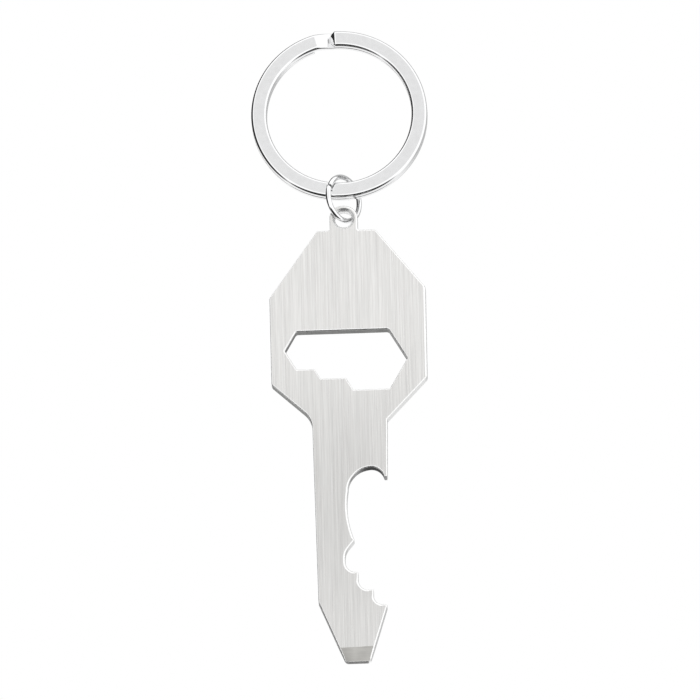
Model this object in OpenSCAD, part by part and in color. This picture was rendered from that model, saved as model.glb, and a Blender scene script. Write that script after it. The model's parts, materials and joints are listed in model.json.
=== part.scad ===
// Keychain bottle opener: a flat steel plate tool hanging from a split key ring by a small jump ring.
// It is drawn as it hangs: +Z up, the plate's front face towards -Y, and the origin on the top inner
// edge of the split ring, where a hook, a nail or a strap carries it.

/* [Split ring] */
// Outer diameter of the split ring
ring_od = 28; // [26:0.5:30]
// Width of its flattened wire, measured along the radius
ring_band = 2.5; // [2:0.1:3]
// Thickness of one coil of the wire
coil_t = 1.2; // [1:0.05:1.3]
// Gap between the two coils
coil_gap = 0.05; // [0.03:0.01:0.1]
// Bevel along the edges of the wire
ring_bevel = 0.28; // [0.1:0.02:0.4]

/* [Jump ring] */
// Diameter of the round wire
wire_d = 0.85; // [0.7:0.05:0.9]
// Diameter of the jump ring, measured on the wire's centreline
jump_d = 7.15; // [7:0.05:7.6]
// Angle between the jump ring's plane and the front-to-back direction
jump_turn = 41; // [36:1:42]
// Width of the butt joint where its two ends meet
butt_gap = 0.16; // [0.05:0.01:0.3]

/* [Opener plate] */
// Thickness of the sheet
plate_t = 2; // [1.6:0.1:2.1]
// Diameter of the hole that the jump ring passes through
hole_d = 2.8; // [2.7:0.05:3]
// Width of the broken edge round that hole, on both faces
hole_bevel = 0.3; // [0.2:0.05:0.35]
// Width of the rounded tab round that hole
tab_w = 4.45; // [4.2:0.05:4.8]
// Length from the middle of the hole to the driver tip
plate_len = 74.05; // [73:0.05:76]
// How far the plate leans from upright as it hangs, with its tip to the right
plate_lean = 1.26; // [0:0.01:2]

/* [Spanner cut-out] */
// Across-flats sizes of the three sockets, small to large
socket_af = [6.35, 8, 10]; // [6:0.05:10]
// Distance of the middle of each socket from the line through the tab's hole
socket_x = [-6.12, -1.9, 3.84]; // [-7:0.01:5]
// Depth of the sockets' shared top edge below the middle of the tab's hole
socket_top = 18.75; // [18:0.05:20]

/* [Driver tip] */
// Height of the ground flat on each face of the tip
grind_h = 2.27; // [1.5:0.01:3]
// Thickness of the blade at its end
blade_t = 1.1; // [0.8:0.05:1.4]

/* [Hidden] */
$fn = 96;

ring_r = ring_od / 2 - ring_band / 2;       // to the middle of the band
ring_z = -(ring_od / 2 - ring_band);        // middle of the split ring
coil_y = (coil_t + coil_gap) / 2;           // middle of each coil, in front and behind
front_end = 93;                             // where the front coil is cut off
front_last = 108;                           // where the wire leaves the front coil
back_first = 95;                            // where it arrives in the back coil
back_end = 110;                             // where the back coil is cut off
jog_steps = 10;
jog_inset = 0.02;

jump_r = jump_d / 2;
hole_x = 0.71;                              // the tab's hole, as it hangs
hole_z = ring_z - 17.6;
jump_z = hole_z + 3.6;                      // middle of the jump ring
butt_at = 158;                              // where its ends meet, from its right-hand side

tip_z = -plate_len;
arc_steps = 10;
cut_over = 1;                               // how far cutting tools reach past a face

tab_x = tab_w / 2;
tab_top = 2.15;
tab_foot = -1.97;                           // where the tab meets the head

// Outline of the plate, [across, up, corner radius], from the middle of the tab's hole
plate_corners = [
    [-tab_x, tab_foot, 0.35],
    [-tab_x, tab_top, 2.05],
    [tab_x, tab_top, 2.05],
    [tab_x, tab_foot, 0.35],
    [4.95, tab_foot, 0.15],
    [12.75, -11.9, 0.9],
    [12.7, -26.95, 0.9],
    [6.2, -33.86, 0.4],
    [6, -43.42, 0.12],
    [5.58, -64.75, 0.2],
    [2.67, tip_z, 0.75],
    [-1.3, tip_z, 0.75],
    [-5.36, -64, 0.4],
    [-5.72, -33.35, 3.8],
    [-12.02, -27.5, 0.7],
    [-12.05, -13.05, 0.7],
    [-4.2, tab_foot, 0.15]
];

// Bottle mouth, [across, up, radius]
hook_arc = [3.4, -43.83, 2.11];
throat_arc = [3.39, -45.39, 3.64];
back_arc = [16.05, -48.1, 16.53];
mouth_low = -53.85;                         // where the mouth meets the first scallop
hook_low = -43.45;                          // the blunt end of the hook
open_x = 9;                                 // clear of the plate's right-hand edge

// The three scallops below it, [across, up, corner radius]
scallop_corners = [
    [1.3, -52.9, 0.05],
    [-0.97, -55.75, 2.6],
    [-0.97, -59.18, 1.7],
    [1.02, -59.18, 0.24],
    [1, -62.19, 1.7],
    [3.39, -62.19, 0.24],
    [3.4, -64.59, 1.45],
    [open_x, -65, 0.05],
    [open_x, -52.9, 0.05]
];

function unit(v) = v / norm(v);
function polar(r, a) = [r * cos(a), r * sin(a)];

// Points of one corner, rounded to its own radius
function rounded(p, q, s) =
    let (
        at = [q[0], q[1]],
        u = unit([p[0], p[1]] - at),
        v = unit([s[0], s[1]] - at),
        half = acos(u * v) / 2,
        reach = q[2] / tan(half),
        mid = at + unit(u + v) * q[2] / sin(half),
        a0 = atan2((at + u * reach - mid)[1], (at + u * reach - mid)[0]),
        a1 = atan2((at + v * reach - mid)[1], (at + v * reach - mid)[0]),
        turn = a1 - a0 > 180 ? a1 - a0 - 360 : a1 - a0 < -180 ? a1 - a0 + 360 : a1 - a0
    )
    [for (i = [0 : arc_steps]) mid + polar(q[2], a0 + turn * i / arc_steps)];

function rounded_outline(list) =
    let (n = len(list))
    [for (i = [0 : n - 1]) each rounded(list[(i + n - 1) % n], list[i], list[(i + 1) % n])];

// Half of a hexagon's flat, and its corner's distance from its middle
function half_flat(af) = af / (2 * sqrt(3));
function corner(af) = af / sqrt(3);

// Where a socket's flat meets the slanted side of the next larger socket
function step_x(small, large) =
    socket_x[large] - corner(socket_af[large])
    + (socket_af[small] - socket_af[large] / 2) / sqrt(3);

// Stands a flat shape up, so that its own up is +Z and its face is towards -Y
module upright() {
    rotate([90, 0, 0]) children();
}

// Section of the flattened wire, radius across and the ring's axis up
function band_points(level, inset = 0) =
    let (a = ring_band / 2 - inset, b = coil_t / 2 - inset, c = ring_bevel)
    [for (p = [[-a + c, -b], [a - c, -b], [a, -b + c], [a, b - c],
               [a - c, b], [-a + c, b], [-a, b - c], [-a, -b + c]]) [ring_r + p[0], level + p[1]]];

// An arc of one coil, drawn clockwise from one angle to the other
module coil(level, from, to) {
    rotate([0, 0, to - 360])
        rotate_extrude(angle = from - to + 360, $fn = 180) polygon(band_points(level));
}

// The wire stepping from the front coil to the back coil, a hair slimmer where it runs into them
module jog() {
    function level(t) = coil_y * cos(180 * max(0, min(1, t)));
    function place(p, a) = [p[0] * cos(a), p[0] * sin(a), p[1]];
    rings = [for (i = [-1 : jog_steps + 1])
        let (t = i / jog_steps, a = front_last + (back_first - front_last) * t)
        [for (p = band_points(level(t), jog_inset)) place(p, a)]];
    side = len(rings[0]);
    points = [for (r = rings) each r];
    walls = [for (i = [0 : len(rings) - 2], k = [0 : side - 1], half = [0, 1])
        let (a = i * side + k, b = i * side + (k + 1) % side, c = a + side, d = b + side)
        half == 0 ? [a, c, b] : [b, c, d]];
    start = [[for (k = [0 : side - 1]) k]];
    finish = [[for (k = [side - 1 : -1 : 0]) (len(rings) - 1) * side + k]];
    polyhedron(points, concat(walls, start, finish));
}

module split_ring() {
    color([0.84, 0.85, 0.87])
    translate([0, 0, ring_z]) upright() {
        coil(coil_y, front_end, front_last);
        coil(-coil_y, back_first, back_end);
        jog();
    }
}

module jump_ring() {
    open = butt_gap / jump_r * 180 / PI;
    color([0.8, 0.81, 0.83])
    translate([hole_x, 0, jump_z])
        rotate([0, 0, 90 - jump_turn]) upright()
            rotate([0, 0, butt_at + open / 2])
                rotate_extrude(angle = 360 - open)
                    translate([jump_r, 0]) circle(d = wire_d, $fn = 48);
}

// Three hexagon sockets in a row that share their top edge
module spanner_cutout() {
    af = socket_af;
    x = socket_x;
    soft = 0.6;
    crisp = 0.15;
    translate([0, -socket_top]) polygon(rounded_outline([
        [x[0] - half_flat(af[0]), 0, soft],
        [x[0] - corner(af[0]), -af[0] / 2, crisp],
        [x[0] - half_flat(af[0]), -af[0], crisp],
        [step_x(0, 1), -af[0], crisp],
        [x[1] - half_flat(af[1]), -af[1], crisp],
        [step_x(1, 2), -af[1], crisp],
        [x[2] - half_flat(af[2]), -af[2], crisp],
        [x[2] + half_flat(af[2]), -af[2], crisp],
        [x[2] + corner(af[2]), -af[2] / 2, crisp],
        [x[2] + half_flat(af[2]), 0, soft]
    ]));
}

module disc(arc) {
    translate([arc[0], arc[1]]) circle(r = arc[2]);
}

// The cap lifter's mouth and the three scallops below it
module cap_mouth() {
    disc(hook_arc);
    disc(throat_arc);
    intersection() {
        disc(back_arc);
        translate([-3, mouth_low]) square([open_x + 3, throat_arc[1] - mouth_low]);
    }
    polygon([[hook_arc[0], hook_low], [open_x, hook_low], [open_x, mouth_low],
             [hook_arc[0], mouth_low]]);
    polygon(rounded_outline(scallop_corners));
}

// Wedge that leaves the ground flat on the front face; its mirror image leaves the back one
module grind() {
    deep = (plate_t - blade_t) / 2;
    face = plate_t / 2;
    translate([0, -face, tip_z + grind_h]) rotate([0, -1.4, 0])
        rotate([90, 0, 90]) linear_extrude(height = 16, center = true)
            polygon([[-cut_over, 0], [0, 0], [deep, -grind_h],
                     [deep + 2 * deep / grind_h, -grind_h - 2], [-cut_over, -grind_h - 2]]);
}

module opener_plate() {
    face = plate_t / 2;
    hole_r = hole_d / 2;
    color([0.78, 0.78, 0.78])
    translate([hole_x, 0, hole_z]) rotate([0, -plate_lean, 0])
    difference() {
        upright() linear_extrude(height = plate_t, center = true)
            difference() {
                polygon(rounded_outline(plate_corners));
                spanner_cutout();
                cap_mouth();
            }
        upright() cylinder(d = hole_d, h = plate_t + 2 * cut_over, center = true);
        for (side = [0, 1]) mirror([0, side, 0]) {
            translate([0, -face - cut_over, 0]) rotate([-90, 0, 0])
                cylinder(r1 = hole_r + hole_bevel + cut_over, r2 = hole_r,
                         h = hole_bevel + cut_over);
            grind();
        }
    }
}

split_ring();
jump_ring();
opener_plate();
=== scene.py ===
"""Looks of the keychain bottle opener: brushed plate, plated split ring and polished jump ring.

Everything is in metres in the CAD frame: +Z up, the plate's front face towards -Y. Outlines of the
plate are in mm from the middle of the tab's hole, across and up along the plate itself.
"""

import json
import math

import bmesh
import bpy
import numpy as np
from mathutils import Matrix, Vector
from mathutils.geometry import delaunay_2d_cdt


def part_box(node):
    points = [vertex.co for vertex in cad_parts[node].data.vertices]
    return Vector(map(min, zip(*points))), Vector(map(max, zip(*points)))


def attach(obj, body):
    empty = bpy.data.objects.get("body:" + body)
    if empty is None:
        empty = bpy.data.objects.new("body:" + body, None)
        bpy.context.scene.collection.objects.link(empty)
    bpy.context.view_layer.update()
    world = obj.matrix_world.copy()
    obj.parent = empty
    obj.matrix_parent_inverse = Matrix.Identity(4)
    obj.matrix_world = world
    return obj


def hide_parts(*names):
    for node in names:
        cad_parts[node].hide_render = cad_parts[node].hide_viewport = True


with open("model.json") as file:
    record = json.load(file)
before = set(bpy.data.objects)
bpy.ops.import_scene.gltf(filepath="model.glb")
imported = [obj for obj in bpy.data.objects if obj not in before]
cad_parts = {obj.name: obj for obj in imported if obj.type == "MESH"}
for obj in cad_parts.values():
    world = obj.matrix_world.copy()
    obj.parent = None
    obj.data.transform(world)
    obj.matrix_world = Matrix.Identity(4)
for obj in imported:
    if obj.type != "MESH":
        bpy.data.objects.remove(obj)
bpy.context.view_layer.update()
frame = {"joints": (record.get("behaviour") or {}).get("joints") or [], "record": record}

MM = 0.001
FULL_TURN = 2 * math.pi

# ------------------------------------------------------------------ places, from the frame

MOUNTS = {m["name"]: m for m in frame["record"]["mounts"]}
TIP_MOUNT = MOUNTS["driver_tip"]
TIP_ACROSS = 0.685                          # middle of the blade's end, from the tab's hole
TIP_UP = -74.05
LEAN = math.atan2(TIP_MOUNT["axis"][0], -TIP_MOUNT["axis"][2])
LEANING = Matrix.Rotation(-LEAN, 3, "Y")
HOLE = Vector(TIP_MOUNT["pos_m"]) - LEANING @ Vector((TIP_ACROSS, 0, TIP_UP)) * MM

# ------------------------------------------------------------------ plate sizes, mm

PLATE_T = 2.0
EDGE_R = 0.11                               # rounding along the crisp edges of the sheet
LOW_EDGE_R = 0.25                           # the same where it faces down
SOFT_EDGE_R = 0.38                          # the same where it is polished softer
SOFT_SIDE = np.array((0.8, 0.6))            # towards those edges
SOFT_FROM, SOFT_OVER = 0.2, 0.6             # cosine where that starts, and how far on it is full
TAB_EDGE_R = 0.32                           # the same round the tab
GRIND_EDGE_R = 0.08                         # the same at the end of the ground tip
DOWN_FACING = 0.5                           # cosine from which an edge counts as that end
EDGE_STEPS = 6
FIRST_TILT = 0.07                           # tilt of the rounding's first step, in radians
ROOM_SHARE = 0.75                           # the most of the sheet beside it that an edge takes
EVEN_SPAN = 2                               # points each way over which the rounding is evened out
HOLE_R = 1.4
HOLE_SIDES = 72
HOLE_EDGE = 0.36                            # bevel on both faces
GRIND_H = 2.27                              # the ground flat on each face of the tip
GRIND_DEEP = 0.45
GRIND_TURN = math.radians(1.4)
ARC_STEP = 0.07                             # longest step along a curve
MIN_STEP = 0.025                            # shortest step along an outline
SAME_POINT = 1e-6

TAB_X = 2.225
TAB_TOP = 2.15
TAB_FOOT = -1.97
HOOK_TIP = (6.0, -43.45)
CUSP = (0.55, -53.85)                       # where the mouth meets the first scallop
SHOULDER = (5.58, -64.75)                   # lower end of the last scallop
MOUTH_WALL_LOW = -47.5                      # how far down the mouth's own wall, with its painted shade, goes
MOUTH_WALL_HIGH = HOOK_TIP[1] + 2
MOUTH_WALL_RIGHT = HOOK_TIP[0] - 0.1
RIGHT_FACING = 0.2                          # walls that face right by more than this are painted light, the others painted shade

# Circles of the mouth, [across, up, radius], and corners of the scallops below it
HOOK = (3.4, -43.83, 2.11)
THROAT = (3.39, -45.39, 3.64)
BACK = (16.05, -48.1, 16.53)
SCALLOPS = [(*CUSP, 0), (-0.97, -55.75, 2.6), (-0.97, -59.18, 1.7), (1.02, -59.18, 0.24),
            (1.0, -62.19, 1.7), (3.39, -62.19, 0.24), (3.4, -64.59, 1.45), (*SHOULDER, 0.3)]

SOCKET_AF = (6.35, 8.0, 10.0)
SOCKET_X = (-6.12, -1.9, 3.84)
SOCKET_TOP = -18.75


# ------------------------------------------------------------------ outlines

def straight(p, q):
    """The two ends of a straight side."""
    return np.array([p[:2], q[:2]], float)


def on_circle(circle, angle):
    x, y, r = circle
    return np.array((x + r * math.cos(angle), y + r * math.sin(angle)))


def round_run(circle, p, q):
    """Points anticlockwise along a circle from p to q."""
    a0, a1 = (math.atan2(k[1] - circle[1], k[0] - circle[0]) for k in (p, q))
    turn = (a1 - a0) % FULL_TURN
    n = max(3, int(turn * circle[2] / ARC_STEP) + 1)
    return np.array([on_circle(circle, a0 + t) for t in np.linspace(0, turn, n)])


def crossing(one, two, left):
    """Where two circles cross, on the left or the right of the way from one's centre to two's."""
    c0, c1 = np.array(one[:2], float), np.array(two[:2], float)
    d = np.linalg.norm(c1 - c0)
    along = (c1 - c0) / d
    reach = (one[2] ** 2 - two[2] ** 2 + d * d) / (2 * d)
    high = math.sqrt(one[2] ** 2 - reach ** 2)
    return c0 + along * reach + np.array((-along[1], along[0])) * (high if left else -high)


def trimmed(run, start, end):
    """A run of points with these lengths cut off its two ends."""
    hair = 1e-4
    steps = np.linalg.norm(np.diff(run, axis=0), axis=1)
    at = np.concatenate(([0.0], np.cumsum(steps)))
    stop = at[-1] - end
    ends = [np.array([np.interp(s, at, run[:, k]) for k in (0, 1)]) for s in (start, stop)]
    inner = run[(at > start + hair) & (at < stop - hair)]
    return np.vstack([ends[:1], inner, ends[1:]])


def round_corner(p, u, v, r):
    """How far a round corner at p reaches along its two sides, u and v, and its points."""
    half = math.acos(float(np.clip(u @ v, -1, 1))) / 2
    reach = r / math.tan(half)
    centre = p + (u + v) / np.linalg.norm(u + v) * r / math.sin(half)
    a0, a1 = (math.atan2(*(p + w * reach - centre)[::-1]) for w in (u, v))
    turn = (a1 - a0 + math.pi) % FULL_TURN - math.pi
    n = max(4, int(abs(turn) * r / ARC_STEP) + 2)
    circle = (*centre, r)
    return reach, np.array([on_circle(circle, a0 + turn * t) for t in np.linspace(0, 1, n)])


def closed_loop(runs, radii):
    """One loop from runs that meet end to start; radii rounds the corner at each run's end."""
    n = len(runs)
    start, end, corners = [0.0] * n, [0.0] * n, [None] * n
    for i, r in enumerate(radii):
        if r <= 0:
            continue
        k = (i + 1) % n
        u, v = runs[i][-2] - runs[i][-1], runs[k][1] - runs[k][0]
        u, v = u / np.linalg.norm(u), v / np.linalg.norm(v)
        end[i], corners[i] = round_corner(runs[i][-1], u, v, r)
        start[k] = end[i]
    points = []
    for i, run in enumerate(runs):
        points.extend(trimmed(run, start[i], end[i]))
        if corners[i] is not None:
            points.extend(corners[i])
    kept = [points[0]]
    for p in points[1:]:
        if np.linalg.norm(p - kept[-1]) > MIN_STEP:
            kept.append(p)
    if np.linalg.norm(kept[0] - kept[-1]) <= MIN_STEP:
        kept.pop()
    return np.array(kept)


def corner_runs(corners):
    """Straight runs between [across, up, radius] corners, each with the radius at its end."""
    return [(straight(a, b), b[2]) for a, b in zip(corners, corners[1:])]


def outer_loop():
    """The plate's edge, clockwise as seen from the front, from the foot of the tab."""
    right = [(-TAB_X, TAB_FOOT, 0.35), (-TAB_X, TAB_TOP, 2.05), (TAB_X, TAB_TOP, 2.05),
             (TAB_X, TAB_FOOT, 0.35), (4.95, TAB_FOOT, 0.25), (12.75, -11.9, 0.9),
             (12.7, -26.95, 0.9), (6.2, -33.86, 0.4), (*HOOK_TIP, 0.22)]
    left = [(*SHOULDER, 0.3), (2.67, TIP_UP, 0.75), (-1.3, TIP_UP, 0.75), (-5.36, -64.0, 0.4),
            (-5.72, -33.35, 3.8), (-12.02, -27.5, 0.7), (-12.05, -13.05, 0.7),
            (-4.2, TAB_FOOT, 0.25), right[0]]
    inner_tip = on_circle(HOOK, math.asin((HOOK_TIP[1] - HOOK[1]) / HOOK[2]))
    over, below = crossing(HOOK, THROAT, False), crossing(THROAT, BACK, False)
    mouth = [(straight(HOOK_TIP, inner_tip), 0.16), (round_run(HOOK, inner_tip, over), 0),
             (round_run(THROAT, over, below), 0), (round_run(BACK, below, CUSP), 0.3)]
    runs = corner_runs(right) + mouth + corner_runs(SCALLOPS) + corner_runs(left)
    return closed_loop([r[0] for r in runs], [r[1] for r in runs])


def socket_loop():
    """The edge of the spanner cut-out: three hexagons that share their top edge."""
    x, af = SOCKET_X, SOCKET_AF
    half = [a / (2 * math.sqrt(3)) for a in af]
    far = [a / math.sqrt(3) for a in af]

    def step(small, large):
        """Where one socket's flat meets the slanted side of the next."""
        return x[large] - far[large] + (af[small] - af[large] / 2) / math.sqrt(3)

    soft, crisp, ledge = 0.6, 0.15, 0.24
    corners = [(x[0] - half[0], 0, soft), (x[0] - far[0], -af[0] / 2, crisp),
               (x[0] - half[0], -af[0], crisp), (step(0, 1), -af[0], ledge),
               (x[1] - half[1], -af[1], crisp), (step(1, 2), -af[1], ledge),
               (x[2] - half[2], -af[2], crisp), (x[2] + half[2], -af[2], crisp),
               (x[2] + far[2], -af[2] / 2, crisp), (x[2] + half[2], 0, soft)]
    corners = [(c[0], SOCKET_TOP + c[1], c[2]) for c in corners]
    runs = corner_runs(corners + corners[:1])
    return closed_loop([r[0] for r in runs], [r[1] for r in runs])


def hole_loop():
    circle = (0, 0, HOLE_R)
    return np.array([on_circle(circle, FULL_TURN * i / HOLE_SIDES) for i in range(HOLE_SIDES)])


# ------------------------------------------------------------------ meshes

# Material slots; the two plain walls are painted light and painted shade, lit and shaded copies of
# one steel
FACE, RIM, PAINTED_LIT_WALL, GROUND, PAINTED_SHADE_WALL, MOUTH_WALL = range(6)


def finished(bm, name, body, node, materials):
    """Makes the piece from its mesh, and ties it to its CAD body."""
    mesh = bpy.data.meshes.new(name)
    bmesh.ops.recalc_face_normals(bm, faces=bm.faces)
    bm.to_mesh(mesh)
    bm.free()
    piece = bpy.data.objects.new(name, mesh)
    bpy.context.scene.collection.objects.link(piece)
    for m in materials:
        mesh.materials.append(m)
    weighted = piece.modifiers.new("flat_faces", "WEIGHTED_NORMAL")
    weighted.keep_sharp = True
    weighted.weight = 100
    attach(piece, body)
    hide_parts(node)
    return piece


def strip(bm, a, b, material=None):
    """A closed band of faces between two rings, with a material for each."""
    n = len(a)
    for i in range(n):
        j = (i + 1) % n
        face = bm.faces.new((a[i], a[j], b[j], b[i]))
        face.smooth = True
        face.material_index = material[i] if material else 0


def grind_line(x):
    """Height of the upper edge of the ground flat."""
    return TIP_UP + GRIND_H + math.tan(GRIND_TURN) * x


def half_thickness(p):
    """Half of the sheet's thickness at a point, less what is ground away at the tip."""
    return PLATE_T / 2 - max(0.0, grind_line(p[0]) - p[1]) * GRIND_DEEP / GRIND_H


def edge_radius(p, out):
    """Rounding of the edge at a point of the outline that faces this way."""
    if p[1] < grind_line(p[0]) and -out[1] > DOWN_FACING:
        return GRIND_EDGE_R
    amount = float(np.clip((out @ SOFT_SIDE - SOFT_FROM) / SOFT_OVER, 0, 1))
    crisp = EDGE_R + (LOW_EDGE_R - EDGE_R) * max(0.0, -out[1])
    soft = TAB_EDGE_R if p[1] > TAB_FOOT else SOFT_EDGE_R
    return crisp + (soft - crisp) * amount


def with_crossings(loop):
    """The loop with a point added wherever it crosses the upper edge of the ground flat."""
    points = []
    for p, q in zip(loop, np.roll(loop, -1, axis=0)):
        points.append(p)
        a, b = p[1] - grind_line(p[0]), q[1] - grind_line(q[0])
        if a * b < 0:
            points.append(p + (q - p) * a / (a - b))
    return np.array(points)


def into_sheet(loop):
    """Mitred directions into the sheet, which is on the loop's left."""
    back, on = loop - np.roll(loop, 1, axis=0), np.roll(loop, -1, axis=0) - loop
    a, b = (d / np.linalg.norm(d, axis=1)[:, None] for d in (back, on))
    na, nb = (np.stack([-d[:, 1], d[:, 0]], 1) for d in (a, b))
    return (na + nb) / (1 + (na * nb).sum(1))[:, None]


def anticlockwise(loop, yes=True):
    x, y = loop[:, 0], loop[:, 1]
    area = float((x * np.roll(y, -1) - y * np.roll(x, -1)).sum())
    return loop if (area > 0) == yes else loop[::-1]


def shifted(values, span):
    """Copies of a loop's values moved by up to span points each way."""
    return [np.roll(values, k) for k in range(-span, span + 1)]


def room(loop):
    """Radius of the largest circle in the sheet that touches the loop at each point."""
    unlimited, span = 1e3, 3
    radii = []
    for p, n in zip(loop, into_sheet(loop)):
        d = loop - p
        high = d @ n / np.linalg.norm(n)
        near = high > SAME_POINT
        touching = (d[near] ** 2).sum(1) / (2 * high[near])
        radii.append(touching.min() if near.any() else unlimited)
    least = np.min(shifted(radii, span), axis=0)
    return np.mean(shifted(least, span), axis=0)


def edge_rings(bm, loop, radii, side, bevelled=False):
    """Rings of a rounded or bevelled edge on one side of the sheet, from its face to the wall."""
    if bevelled:
        profile = [(1 - s, s) for s in np.linspace(0, 1, EDGE_STEPS + 1)]
    else:
        angles = (math.pi / 2, *np.linspace(math.pi / 2 - FIRST_TILT, 0, EDGE_STEPS))
        profile = [(1 - math.cos(a), 1 - math.sin(a)) for a in angles]
    rings = []
    for inset, depth in profile:
        ring = []
        for p, n, r in zip(loop, into_sheet(loop), radii):
            q = p + n * r * inset
            ring.append(bm.verts.new((q[0], side * (half_thickness(q) - r * depth), q[1])))
        rings.append(ring)
    return rings


def within(p, loop):
    """Whether a point is inside a closed loop."""
    x, y = loop[:, 0], loop[:, 1]
    x1, y1 = np.roll(x, -1), np.roll(y, -1)
    spans = (y > p[1]) != (y1 > p[1])
    safe = np.where(y1 == y, 1.0, y1 - y)
    return bool((spans & (p[0] < x + (p[1] - y) * (x1 - x) / safe)).sum() % 2)


def fill_face(bm, rings, face_material, ground_material):
    """Closes one face of the sheet, with a crease along the top of the ground flat."""
    verts = [v for ring in rings for v in ring]
    loops = [np.array([(v.co.x, v.co.z) for v in ring]) for ring in rings]
    flat = [Vector((v.co.x, v.co.z)) for v in verts]
    edges, first = [], 0
    for ring in rings:
        n = len(ring)
        edges += [(first + i, first + (i + 1) % n) for i in range(n)]
        first += n
    off_line = [abs(p[1] - grind_line(p[0])) for p in loops[0]]
    crease = [min((i for i, p in enumerate(loops[0]) if p[0] * side > 0), key=off_line.__getitem__)
              for side in (-1, 1)]
    edges.append(tuple(crease))
    points, _, faces, origin, _, _ = delaunay_2d_cdt(flat, edges, [], 0, SAME_POINT)
    for face in faces:
        mid = sum((points[i] for i in face), Vector((0, 0))) / len(face)
        if not within(mid, loops[0]) or any(within(mid, k) for k in loops[1:]):
            continue
        made = bm.faces.new([verts[origin[i][0]] for i in face])
        made.material_index = ground_material if mid.y < grind_line(mid.x) else face_material


def outer_wall(p, out):
    """Material of the outer wall at a point that faces this way: painted light where it faces
    right, painted shade elsewhere, and the mouth's own wall in the mouth.
    """
    if MOUTH_WALL_LOW < p[1] < MOUTH_WALL_HIGH and p[0] < MOUTH_WALL_RIGHT:
        return MOUTH_WALL
    # walls facing right get the painted light, the rest the painted shade
    return PAINTED_LIT_WALL if out[0] > RIGHT_FACING else PAINTED_SHADE_WALL


def socket_edge_radius(p, out):
    return min(LOW_EDGE_R, edge_radius(p, out))


def build_plate(materials):
    bm = bmesh.new()
    edge = anticlockwise(with_crossings(outer_loop()))
    sockets = anticlockwise(socket_loop(), False)
    hole = anticlockwise(hole_loop(), False)
    # the sockets' walls all get the painted shade, the hole's wall the painted light
    loops = [(edge, edge_radius, outer_wall),
             (sockets, socket_edge_radius, lambda p, out: PAINTED_SHADE_WALL),
             (hole, lambda p, out: HOLE_EDGE, lambda p, out: PAINTED_LIT_WALL)]
    faces = {-1: [], 1: []}
    for loop, radius_at, wall_at in loops:
        outward = -into_sheet(loop)
        outward /= np.linalg.norm(outward, axis=1)[:, None]
        wanted = [radius_at(p, d) for p, d in zip(loop, outward)]
        fitting = np.minimum(wanted, room(loop) * ROOM_SHARE)
        radii = np.mean(shifted(fitting, EVEN_SPAN), axis=0)
        front, back = (edge_rings(bm, loop, radii, side, loop is hole) for side in (-1, 1))
        for rings in (front, back):
            for a, b in zip(rings, rings[1:]):
                strip(bm, a, b, [RIM] * len(loop))
        strip(bm, front[-1], back[-1], [wall_at(p, d) for p, d in zip(loop, outward)])
        faces[-1].append(front[0])
        faces[1].append(back[0])
    for rings in faces.values():
        fill_face(bm, rings, FACE, GROUND)
    for v in bm.verts:
        v.co = HOLE + LEANING @ v.co * MM
    return finished(bm, "opener_plate_sheet", "opener_plate", "opener_plate",
                    materials)


def swept(bm, rings, bevel):
    """A closed tube through rings of points, with a small bevel round each cut end."""
    proud = bevel * 0.6                     # how far the bevel stands out past the cut
    made = [[bm.verts.new(p) for p in ring] for ring in rings]
    for a, b in zip(made, made[1:]):
        strip(bm, a, b)
    for ring, inner in ((made[0], made[1]), (made[-1], made[-2])):
        centre = sum((v.co for v in ring), Vector()) / len(ring)
        away = (centre - sum((v.co for v in inner), Vector()) / len(inner)).normalized()
        lip = [bm.verts.new(v.co + (centre - v.co).normalized() * bevel + away * proud)
               for v in ring]
        strip(bm, ring, lip)
        cap = bm.faces.new(lip)
        cap.smooth = True
        for e in cap.edges:
            e.smooth = False


# ------------------------------------------------------------------ split ring

RING_LOW, RING_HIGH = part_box("split_ring")
RING_CENTRE = Vector((0, 0, (RING_LOW.z + RING_HIGH.z) / 2))
RING_OUTER = (RING_HIGH.z - RING_LOW.z) / 2
BAND = 2.5 * MM
COIL_T = 1.2 * MM
COIL_EDGE = 0.5 * MM                        # rounding of the wire's edges on the outer faces
MEETING_EDGE = 0.13 * MM                    # the same where the two coils meet
COIL_Y = (RING_HIGH.y - RING_LOW.y - COIL_T) / 2
FRONT_END, BACK_END = 93, 110               # where the coils are cut off, in degrees
FRONT_LAST, BACK_FIRST = 108, 95            # where the wire leaves the front coil for the back
RING_STEP = 1.5                             # degrees
RING_CUT = 0.06 * MM                        # bevel round the wire's ends
STEP_EASE = 0.2                             # share of the step between coils that is eased in
NOSE = 3.6                                  # how far the front end tapers past its cut, degrees
NOSE_STEPS = 8
NOSE_SLIM, NOSE_THIN = 0.62, 0.6            # how much of its width and thickness it loses
NOSE_SINK = 0.32                            # how far it sinks back, in wire thicknesses
NOSE_ROUND, NOSE_CURVE = 1.3, 1.2           # how late in the taper it narrows and sinks


def band_profile(level, steps=5):
    """Section of the flattened wire at this level, [outwards, along the ring's axis]."""
    behind = (level / COIL_Y + 1) / 2
    edge = {-1: COIL_EDGE + (MEETING_EDGE - COIL_EDGE) * behind,
            1: MEETING_EDGE + (COIL_EDGE - MEETING_EDGE) * behind}
    points = []
    for k, (sx, sy) in enumerate(((1, 1), (-1, 1), (-1, -1), (1, -1))):
        r = edge[sy]
        for i in range(steps + 1):
            t = math.pi / 2 * (k + i / steps)
            points.append((sx * (BAND / 2 - r) + r * math.cos(t),
                           sy * (COIL_T / 2 - r) + r * math.sin(t)))
    return points


def coil_level(turned):
    """How far in front or behind the wire is, this many degrees on from its front end."""
    leave = 360 - (FRONT_LAST - FRONT_END)
    along = min(1, max(0, (turned - leave) / (FRONT_LAST - BACK_FIRST)))
    if along < STEP_EASE:
        rise = along ** 2 / (2 * STEP_EASE)
    elif along > 1 - STEP_EASE:
        rise = 1 - STEP_EASE - (1 - along) ** 2 / (2 * STEP_EASE)
    else:
        rise = along - STEP_EASE / 2
    return COIL_Y * (2 * rise / (1 - STEP_EASE) - 1)


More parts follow.
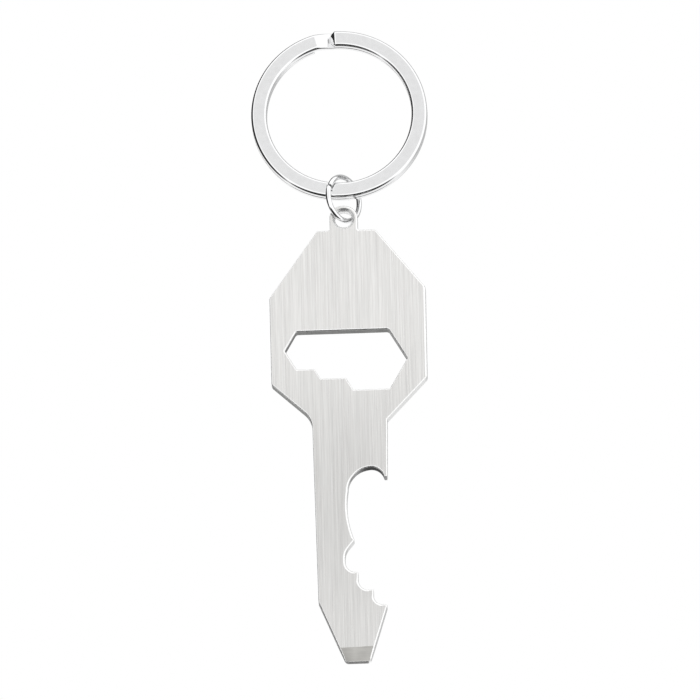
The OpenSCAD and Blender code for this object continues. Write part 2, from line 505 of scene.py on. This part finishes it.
def build_split_ring(material):
    bm = bmesh.new()
    total = 2 * 360 + FRONT_END - BACK_END
    count = int(total / RING_STEP)
    turns = [(-NOSE * s, 1 - NOSE_SLIM * s ** NOSE_ROUND, s ** NOSE_CURVE)
             for s in np.linspace(1, 0, NOSE_STEPS)[:-1]]
    turns += [(total * i / count, 1, 0) for i in range(count + 1)]
    rings = []
    for turned, slim, sunk in turns:
        a = math.radians(FRONT_END - turned)
        out = Vector((math.cos(a), 0, math.sin(a)))
        level = coil_level(max(0, turned))
        section = band_profile(level)
        level += sunk * COIL_T * NOSE_SINK
        rings.append([RING_CENTRE + out * (RING_OUTER - BAND / 2 + u * slim)
                      + Vector((0, level + w * (1 - NOSE_THIN * sunk), 0)) for u, w in section])
    swept(bm, rings, RING_CUT)
    return finished(bm, "split_ring_wire", "split_ring", "split_ring", [material])


# ------------------------------------------------------------------ jump ring

JUMP_LOW, JUMP_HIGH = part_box("jump_ring")
JUMP_CENTRE = (JUMP_LOW + JUMP_HIGH) / 2
CAD_WIRE = 0.85 * MM
WIRE = 0.84 * MM                            # a hair thinner, clear of the hole's edge
JUMP_R = (JUMP_HIGH.z - JUMP_LOW.z - CAD_WIRE) / 2
PLATE_SWING = next(j for j in frame["joints"] if j["name"] == "plate_swing")
JUMP_ACROSS = Vector(PLATE_SWING["axis"]).normalized()
JUMP_STEPS, WIRE_SIDES = 120, 20
BUTT_AT = 158                               # degrees from the ring's right-hand side
BUTT_GAP = 0.16 * MM
JUMP_CUT = 0.05 * MM                        # bevel round the wire's ends
SPRUNG = 0.12 * MM                          # how far its ends stand to either side
SPRUNG_LATE = 5                             # the higher, the nearer the ends the wire bends


def build_jump_ring(material):
    bm = bmesh.new()
    normal = JUMP_ACROSS.cross(Vector((0, 0, 1)))
    open_angle = BUTT_GAP / JUMP_R
    rings = []
    for i in range(JUMP_STEPS + 1):
        t = i / JUMP_STEPS
        a = math.radians(BUTT_AT) + open_angle / 2 + (FULL_TURN - open_angle) * t
        out = JUMP_ACROSS * math.cos(a) + Vector((0, 0, math.sin(a)))
        bend = (2 * t - 1) ** SPRUNG_LATE
        centre = JUMP_CENTRE + out * JUMP_R + normal * SPRUNG * bend
        rings.append([centre + out * WIRE / 2 * math.cos(b) + normal * WIRE / 2 * math.sin(b)
                      for b in np.linspace(0, FULL_TURN, WIRE_SIDES + 1)[:-1]])
    swept(bm, rings, JUMP_CUT)
    return finished(bm, "jump_ring_wire", "jump_ring", "jump_ring", [material])


# ------------------------------------------------------------------ materials

def new_material(name, colour, roughness):
    """A bare metal, and its node tree's handy parts."""
    m = bpy.data.materials.new(name)
    m.use_nodes = True
    shader = m.node_tree.nodes["Principled BSDF"]
    shader.inputs["Base Color"].default_value = (*colour, 1)
    shader.inputs["Metallic"].default_value = 1.0
    shader.inputs["Roughness"].default_value = roughness
    return m, m.node_tree.nodes, m.node_tree.links, shader


def plate_coordinates(nodes, links, scale):
    """Coordinates across and along the leaning plate, from the hole, times scale (per metre)."""
    place = nodes.new("ShaderNodeTexCoord")
    turn = nodes.new("ShaderNodeMapping")
    turn.vector_type = "TEXTURE"
    turn.inputs["Location"].default_value = HOLE
    turn.inputs["Rotation"].default_value = (0, -LEAN, 0)
    stretch = nodes.new("ShaderNodeMapping")
    stretch.inputs["Scale"].default_value = scale
    links.new(place.outputs["Object"], turn.inputs["Vector"])
    links.new(turn.outputs["Vector"], stretch.inputs["Vector"])
    return stretch.outputs["Vector"]


def noise(nodes, links, vector, detail=2.0):
    n = nodes.new("ShaderNodeTexNoise")
    n.inputs["Scale"].default_value = 1.0
    n.inputs["Detail"].default_value = detail
    links.new(vector, n.inputs["Vector"])
    return n.outputs["Fac"]


def spread(nodes, links, value, low, high, lo_in=0.3, hi_in=0.7):
    """Maps the middle of a noise's range onto low to high."""
    m = nodes.new("ShaderNodeMapRange")
    m.inputs["From Min"].default_value = lo_in
    m.inputs["From Max"].default_value = hi_in
    m.inputs["To Min"].default_value = low
    m.inputs["To Max"].default_value = high
    links.new(value, m.inputs["Value"])
    return m.outputs["Result"]


def maths(nodes, links, kind, a, b):
    m = nodes.new("ShaderNodeMath")
    m.operation = kind
    for socket, value in zip(m.inputs, (a, b)):
        if isinstance(value, (int, float)):
            socket.default_value = value
        else:
            links.new(value, socket)
    return m.outputs["Value"]


def tinted(nodes, links, value, colour, shader):
    """Base colour: the metal's own, dimmed and brightened by value."""
    mix = nodes.new("ShaderNodeVectorMath")
    mix.operation = "SCALE"
    mix.inputs[0].default_value = colour
    links.new(value, mix.inputs["Scale"])
    links.new(mix.outputs["Vector"], shader.inputs["Base Color"])


def bumped(nodes, links, height, strength, distance, shader):
    b = nodes.new("ShaderNodeBump")
    b.inputs["Strength"].default_value = strength
    b.inputs["Distance"].default_value = distance
    links.new(height, b.inputs["Height"])
    links.new(b.outputs["Normal"], shader.inputs["Normal"])


def along_plate(nodes, links, axis, low, high, at_low, at_high):
    """Goes from at_low to at_high between two places along X or Z of the plate, in mm."""
    split = nodes.new("ShaderNodeSeparateXYZ")
    links.new(plate_coordinates(nodes, links, (1000, 1000, 1000)), split.inputs["Vector"])
    m = nodes.new("ShaderNodeMapRange")
    m.interpolation_type = "SMOOTHSTEP"
    for name, v in zip(("From Min", "From Max", "To Min", "To Max"), (low, high, at_low, at_high)):
        m.inputs[name].default_value = v
    links.new(split.outputs[axis], m.inputs["Value"])
    return m.outputs["Result"]


def brushed_steel():
    """The sheet's faces, brushed lengthwise, with painted shade that darkens them from the head
    down past the mouth, eased a little towards the tip.
    """
    colour = (0.805, 0.799, 0.785)
    m, nodes, links, shader = new_material("brushed_steel", colour, 0.32)
    fine = noise(nodes, links, plate_coordinates(nodes, links, (7200, 300, 60)), 3)
    broad = noise(nodes, links, plate_coordinates(nodes, links, (1300, 50, 14)), 2)
    scratch = noise(nodes, links, plate_coordinates(nodes, links, (9000, 300, 260)), 1)
    streaks = maths(nodes, links, "ADD", spread(nodes, links, fine, -0.09, 0.09),
                    spread(nodes, links, broad, -0.028, 0.028))
    value = maths(nodes, links, "ADD", streaks, spread(nodes, links, scratch, 0.96, 1.04))
    # painted shade: the face's reflection dimmed from the head downwards, a little lighter again
    # near the tip
    painted_shade_falloff = maths(nodes, links, "ADD", along_plate(nodes, links, "Z", -44, -18, 0.86, 1.0),
                 along_plate(nodes, links, "Z", -70, -52, 0.06, 0.0))
    tinted(nodes, links, maths(nodes, links, "MULTIPLY", value, painted_shade_falloff), colour, shader)
    links.new(spread(nodes, links, fine, 0.26, 0.4), shader.inputs["Roughness"])
    height = maths(nodes, links, "ADD", fine, maths(nodes, links, "MULTIPLY", scratch, 0.5))
    bumped(nodes, links, height, 0.25, 0.004 * MM, shader)
    return m


def rounded_rim():
    """The tumbled rounding along the sheet's edges."""
    colour = (0.93, 0.93, 0.925)
    m, nodes, links, shader = new_material("plate_rim", colour, 0.4)
    grain = noise(nodes, links, plate_coordinates(nodes, links, (2500, 2500, 2500)), 2)
    tinted(nodes, links, spread(nodes, links, grain, 0.95, 1.04), colour, shader)
    links.new(spread(nodes, links, grain, 0.34, 0.46), shader.inputs["Roughness"])
    return m


def wall_lines(name, colour, roughness):
    """A wall of the sheet with faint lines across its thickness: its parts, and the lines."""
    m, nodes, links, shader = new_material(name, colour, roughness)
    lines = noise(nodes, links, plate_coordinates(nodes, links, (5000, 180, 5000)), 2)
    varied = spread(nodes, links, lines, roughness - 0.08, roughness + 0.1)
    links.new(varied, shader.inputs["Roughness"])
    bumped(nodes, links, lines, 0.3, 0.004 * MM, shader)
    return m, nodes, links, shader, lines


def painted_lit_wall():
    """Walls painted light: the lit copy of the wall steel, used where outer walls face right and
    round the hole.
    """
    colour = (0.9, 0.9, 0.895)
    m, nodes, links, shader, lines = wall_lines("painted_lit_wall", colour, 0.3)
    tinted(nodes, links, spread(nodes, links, lines, 0.94, 1.04), colour, shader)
    return m


def painted_shade_wall():
    """Walls painted shade: the dark copy of the wall steel, used where outer walls don't face
    right and round the spanner cut-out.
    """
    colour = (0.21, 0.21, 0.205)
    m, nodes, links, shader, lines = wall_lines("painted_shade_wall", colour, 0.4)
    tinted(nodes, links, spread(nodes, links, lines, 0.8, 1.2), colour, shader)
    return m


def mouth_wall():
    """The mouth's wall, with painted shade under the hook and towards its right, and its full
    light colour lower down.
    """
    colour = (0.9, 0.9, 0.895)
    m, nodes, links, shader, lines = wall_lines("mouth_wall", colour, 0.36)
    # painted shade: darkest at the top under the hook and on the right, full colour lower down;
    # the specular tint follows it
    lower = along_plate(nodes, links, "Z", -45.0, -42.3, 1.0, 0.08)
    inner = along_plate(nodes, links, "X", 0.6, 3.0, 0.5, 0.08)
    painted_shading = maths(nodes, links, "MAXIMUM", lower, inner)
    links.new(spread(nodes, links, painted_shading, 0.5, 1), shader.inputs["Specular Tint"])
    value = maths(nodes, links, "MULTIPLY", painted_shading, spread(nodes, links, lines, 0.88, 1.1))
    tinted(nodes, links, value, colour, shader)
    return m


def ground_steel():
    """The ground flats of the driver tip, with wheel marks across the blade and painted shade
    darker towards their left.
    """
    colour = (0.45, 0.443, 0.423)
    m, nodes, links, shader = new_material("ground_steel", colour, 0.3)
    marks = noise(nodes, links, plate_coordinates(nodes, links, (320, 300, 7000)), 3)
    patch = noise(nodes, links, plate_coordinates(nodes, links, (500, 500, 500)), 1)
    value = maths(nodes, links, "ADD", spread(nodes, links, marks, -0.06, 0.06),
                  spread(nodes, links, patch, 0.92, 1.1))
    # painted shade: the ground flats darker towards the left
    left = along_plate(nodes, links, "X", -1.6, 0.4, 0.8, 1.0)
    tinted(nodes, links, maths(nodes, links, "MULTIPLY", value, left), colour, shader)
    bumped(nodes, links, marks, 0.3, 0.004 * MM, shader)
    return m


def plated_steel(name, colour, roughness, wear):
    """Bright plating with faint handling scuffs."""
    m, nodes, links, shader = new_material(name, colour, roughness)
    place = nodes.new("ShaderNodeTexCoord").outputs["Object"]
    stretch = nodes.new("ShaderNodeMapping")
    stretch.inputs["Scale"].default_value = (1400, 1400, 1400)
    links.new(place, stretch.inputs["Vector"])
    scuffs = noise(nodes, links, stretch.outputs["Vector"], 4)
    tinted(nodes, links, spread(nodes, links, scuffs, 1 - wear, 1 + wear), colour, shader)
    varied = spread(nodes, links, scuffs, roughness * 0.7, roughness * 1.4)
    links.new(varied, shader.inputs["Roughness"])
    return m


# ------------------------------------------------------------------ studio

FLOOR_Z = -1.9                              # far below, as the object hangs
FLOOR_HALF = 30
FLOOR_TONE = (0.93, 0.93, 0.93, 1)
FACED = Vector((-0.033, -0.945, 0.326))     # what the front face mirrors to the camera
FACED_SPREAD = (0.88, 0.97)                 # cosines of the angles from there where it fades
FACED_LEVEL, FRONT_LEVEL = 0.95, 1.3        # there, and on the rest of the front and the sides
BACK_LEVEL, LOW_BACK_LEVEL = 0.58, 1.05     # behind, high up and low down
BACK_FROM = (-0.05, 0.15)                   # where the front gives way to the back, along Y
BACK_RISE = (0.08, 0.34)                    # heights between which the back goes from low to high
BACK_SLANT = 0.6                            # how much lower it does so on the right
DARK_LEVEL = 0.03                           # far left and straight below
DARK_FROM = (0.66, 0.8)                     # how far left it starts, and is full
DARK_BELOW = -1.12                          # how much sooner than on the left it does so below
DARK_BACK, DARK_RISE = 0.3, 0.8             # how much further it reaches towards the upper back

CAMERA_AZIMUTH = math.radians(2)
CAMERA_ELEVATION = math.radians(-19)
CAMERA_LENS = 1500
SENSOR = 36
FRAME_WIDTH = 111.1 * MM                    # width of the view at the object
AIM_RIGHT = 0.985 * MM                      # the view's middle, from the middle of the tab's hole
AIM_UP = -20.56 * MM


def build_camera():
    a, e = CAMERA_AZIMUTH, CAMERA_ELEVATION
    back = Vector((math.sin(a) * math.cos(e), -math.cos(a) * math.cos(e), math.sin(e)))
    turn = (-back).to_track_quat("-Z", "Y")
    right, up = turn @ Vector((1, 0, 0)), turn @ Vector((0, 1, 0))
    data = bpy.data.cameras.new("camera")
    data.lens = CAMERA_LENS
    data.sensor_width = SENSOR
    distance = FRAME_WIDTH * CAMERA_LENS / SENSOR
    data.clip_start, data.clip_end = distance / 10, distance * 10
    camera = bpy.data.objects.new("camera", data)
    bpy.context.scene.collection.objects.link(camera)
    camera.rotation_mode = "QUATERNION"
    camera.rotation_quaternion = turn
    camera.location = HOLE + right * AIM_RIGHT + up * AIM_UP + back * distance
    bpy.context.scene.camera = camera


def build_floor():
    bm = bmesh.new()
    bmesh.ops.create_grid(bm, x_segments=1, y_segments=1, size=FLOOR_HALF)
    mesh = bpy.data.meshes.new("floor")
    bm.to_mesh(mesh)
    bm.free()
    floor = bpy.data.objects.new("floor", mesh)
    bpy.context.scene.collection.objects.link(floor)
    floor.location.z = FLOOR_Z
    m = bpy.data.materials.new("floor_paper")
    m.use_nodes = True
    shader = m.node_tree.nodes["Principled BSDF"]
    shader.inputs["Base Color"].default_value = FLOOR_TONE
    shader.inputs["Roughness"].default_value = 0.9
    mesh.materials.append(m)
    floor.visible_glossy = False


def blended(nodes, links, amount, a, b):
    """a + (b - a) * amount, for plain numbers."""
    gap = maths(nodes, links, "SUBTRACT", b, a)
    return maths(nodes, links, "ADD", a, maths(nodes, links, "MULTIPLY", gap, amount))


def build_world():
    """White for the camera; for reflections, bright in front, grey behind, dark left and below."""
    world = bpy.data.worlds.new("studio")
    bpy.context.scene.world = world
    world.use_nodes = True
    nodes, links = world.node_tree.nodes, world.node_tree.links
    back = nodes["Background"]
    place = nodes.new("ShaderNodeTexCoord").outputs["Generated"]
    split = nodes.new("ShaderNodeSeparateXYZ")
    links.new(place, split.inputs["Vector"])
    x, y, z = split.outputs
    facing = nodes.new("ShaderNodeVectorMath")
    facing.operation = "DOT_PRODUCT"
    links.new(place, facing.inputs[0])
    facing.inputs[1].default_value = FACED
    near = spread(nodes, links, facing.outputs["Value"], 0, 1, *FACED_SPREAD)
    level = blended(nodes, links, near, FRONT_LEVEL, FACED_LEVEL)
    high_right = maths(nodes, links, "ADD", z, maths(nodes, links, "MULTIPLY", x, BACK_SLANT))
    back_level = spread(nodes, links, high_right, LOW_BACK_LEVEL, BACK_LEVEL, *BACK_RISE)
    level = blended(nodes, links, spread(nodes, links, y, 0, 1, *BACK_FROM), level, back_level)
    turned = maths(nodes, links, "MAXIMUM", maths(nodes, links, "ADD", y, DARK_BACK), 0.0)
    risen = maths(nodes, links, "MULTIPLY", maths(nodes, links, "MAXIMUM", z, 0.0), DARK_RISE)
    left = maths(nodes, links, "SUBTRACT", maths(nodes, links, "MULTIPLY", turned, risen), x)
    dark = maths(nodes, links, "MAXIMUM", left, maths(nodes, links, "MULTIPLY", z, DARK_BELOW))
    level = blended(nodes, links, spread(nodes, links, dark, 0, 1, *DARK_FROM), level, DARK_LEVEL)
    seen = nodes.new("ShaderNodeLightPath")
    pick = nodes.new("ShaderNodeMix")
    pick.data_type = "RGBA"
    links.new(seen.outputs["Is Camera Ray"], pick.inputs["Factor"])
    a, b = (k for k in pick.inputs if k.type == "RGBA")
    links.new(level, a)
    b.default_value = (1, 1, 1, 1)
    links.new(next(k for k in pick.outputs if k.type == "RGBA"), back.inputs["Color"])


build_camera()
build_floor()
build_world()
bpy.context.scene.view_settings.view_transform = "Standard"

build_plate([brushed_steel(), rounded_rim(), painted_lit_wall(), ground_steel(), painted_shade_wall(),
             mouth_wall()])
build_split_ring(plated_steel("ring_plating", (0.81, 0.812, 0.816), 0.08, 0.03))
build_jump_ring(plated_steel("jump_plating", (0.84, 0.842, 0.846), 0.05, 0.02))
